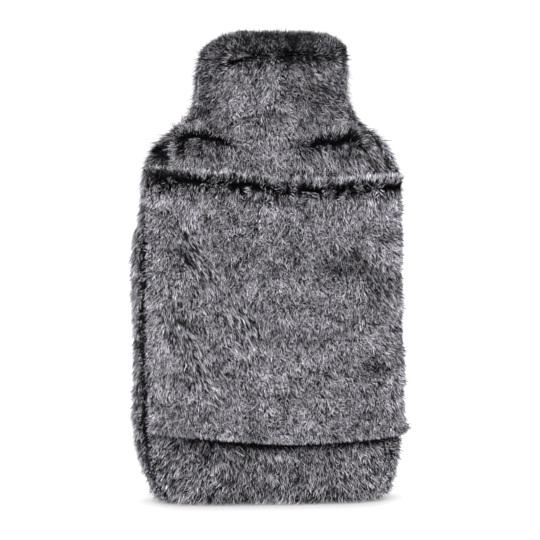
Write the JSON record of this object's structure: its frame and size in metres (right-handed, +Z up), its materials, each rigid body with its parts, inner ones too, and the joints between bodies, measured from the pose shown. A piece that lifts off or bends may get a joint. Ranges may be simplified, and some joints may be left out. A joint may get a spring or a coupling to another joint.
{
  "type": "hot water bottle cover",
  "caption": "Grey faux fur cover for a hot water bottle, standing on its base, with a narrow neck, rounded shoulders and a long front flap that hangs over its mouth.",
  "frame": {"origin": "centre of the cover's box at the level of its base, on the surface it stands on", "axes": "+Z up along the cover's height, -Y towards the front flap, +X to the right as seen from the front"},
  "size_m": [0.214, 0.078, 0.366],
  "materials": {
    "grey_fur": "matte"
  },
  "bodies": {
    "root": {"back_panel": "grey_fur", "front_yoke": "grey_fur", "front_flap": "grey_fur", "front_pouch": "grey_fur"}
  },
  "joints": []
}
